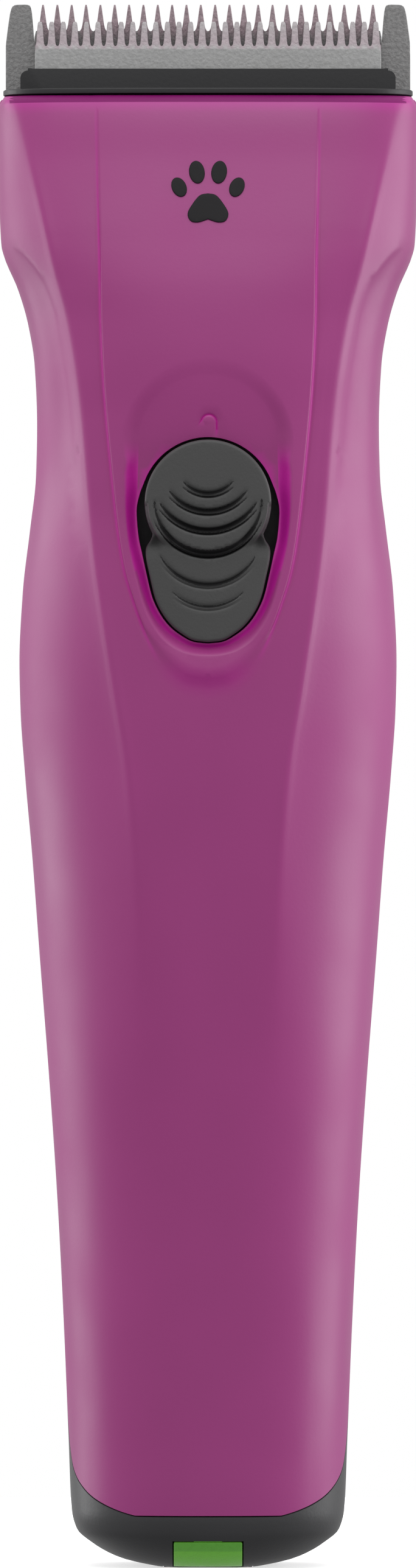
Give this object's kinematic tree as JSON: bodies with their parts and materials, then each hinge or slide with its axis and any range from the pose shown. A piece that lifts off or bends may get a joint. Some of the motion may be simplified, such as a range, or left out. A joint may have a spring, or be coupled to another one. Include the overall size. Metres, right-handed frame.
{
  "type": "cordless pet clipper",
  "caption": "Cordless pet clipper with a contoured grip, sliding thumb switch, detachable toothed blade set and sideways cutting-length lever, standing on its flat lower end.",
  "frame": {"origin": "middle of the flat face at the lower end, on which the clipper stands", "axes": "+Z along the clipper towards the blades, -Y towards the thumb switch, X across the width"},
  "size_m": [0.0474, 0.0377, 0.1768],
  "materials": {
    "shell_plum": "satin moulded plastic",
    "shell_dark": "satin moulded plastic, slightly textured",
    "frame_black": "satin moulded plastic",
    "badge_ink": "printed film",
    "button_grey": "fine matt texture",
    "plastic_natural": "natural acetal",
    "plastic_black": "moulded",
    "tinned_steel": "tinned sheet",
    "pcb_green": "solder mask",
    "screw_steel": "zinc plated",
    "screw_dark": "black oxide",
    "led_resin": "clear resin",
    "lens_green": "translucent moulding",
    "cell_sleeve": "steel can in a heat-shrink sleeve",
    "nickel": "nickel strip",
    "wire_red": "insulated wire",
    "wire_black": "insulated wire",
    "foam_grey": "closed-cell foam",
    "motor_steel": "drawn steel can",
    "magnet_grey": "ferrite",
    "brass_contact": "plated contact",
    "rubber_black": "soft moulding",
    "ground_steel": "ground steel",
    "copper_winding": "enamelled winding on a laminated core",
    "spring_steel": "rolled strip",
    "blade_steel": "bead-blasted steel",
    "cutter_steel": "ground steel",
    "lever_black": "moulded"
  },
  "bodies": {
    "housing": {"front_shell": "shell_plum", "back_shell": "shell_dark", "head_frame": "frame_black", "paw_badge": "badge_ink", "switch_body": "tinned_steel", "main_pcb": "pcb_green", "pcb_parts": "plastic_black", "pcb_screws": "screw_steel", "charge_led": "led_resin", "led_lens": "lens_green", "battery_cell": "cell_sleeve", "battery_tabs": "nickel", "battery_leads": "wire_red", "battery_pads": "foam_grey", "motor_can": "motor_steel", "motor_magnets": "magnet_grey", "motor_endcap": "plastic_black", "motor_terminals": "brass_contact", "motor_leads": "wire_black", "motor_screws": "screw_steel", "motor_damper": "rubber_black", "socket_plate": "shell_dark", "dc_socket": "plastic_black", "charge_contacts": "brass_contact", "housing_screws": "screw_dark", "latch_spring": "spring_steel"},
    "thumb_switch": {"switch_button": "button_grey", "switch_slider": "plastic_natural", "switch_knob": "plastic_black"},
    "rotor": {"motor_shaft": "ground_steel", "rotor_core": "copper_winding", "eccentric_cam": "plastic_natural", "cam_bearing": "ground_steel"},
    "blade_set": {"blade_carrier": "frame_black", "fixed_blade": "blade_steel", "blade_screws": "screw_steel"},
    "lever": {"length_lever": "lever_black"},
    "carriage": {"cutter_carriage": "plastic_natural", "tension_spring": "spring_steel"},
    "cutter": {"moving_blade": "cutter_steel", "drive_yoke": "plastic_natural", "yoke_screws": "screw_steel"}
  },
  "joints": [
    {"name": "switch_slide", "type": "slide", "parent": "housing", "child": "thumb_switch", "axis": [0, 0, 1], "range_m": [0, 0.004]},
    {"name": "motor_spin", "type": "hinge", "parent": "housing", "child": "rotor", "pos_m": [0, 0.001, 0.13], "axis": [0, 0, 1], "continuous": true},
    {"name": "blade_set_tilt", "type": "hinge", "parent": "housing", "child": "blade_set", "pos_m": [0, 0.0088, 0.1462], "axis": [-1, 0, 0], "range_deg": [0, 50]},
    {"name": "length_lever_slide", "type": "slide", "parent": "blade_set", "child": "lever", "axis": [1, 0, 0], "range_m": [-0.004, 0.004]},
    {"name": "cutter_height", "type": "slide", "parent": "blade_set", "child": "carriage", "axis": [0, 0, 1], "range_m": [-0.0009, 0.0009]},
    {"name": "cutter_stroke", "type": "slide", "parent": "carriage", "child": "cutter", "axis": [1, 0, 0], "range_m": [-0.0011, 0.0011]}
  ],
  "couplings": [
    {"joint": "cutter_height", "follows": "length_lever_slide", "ratio": 0.225}
  ]
}
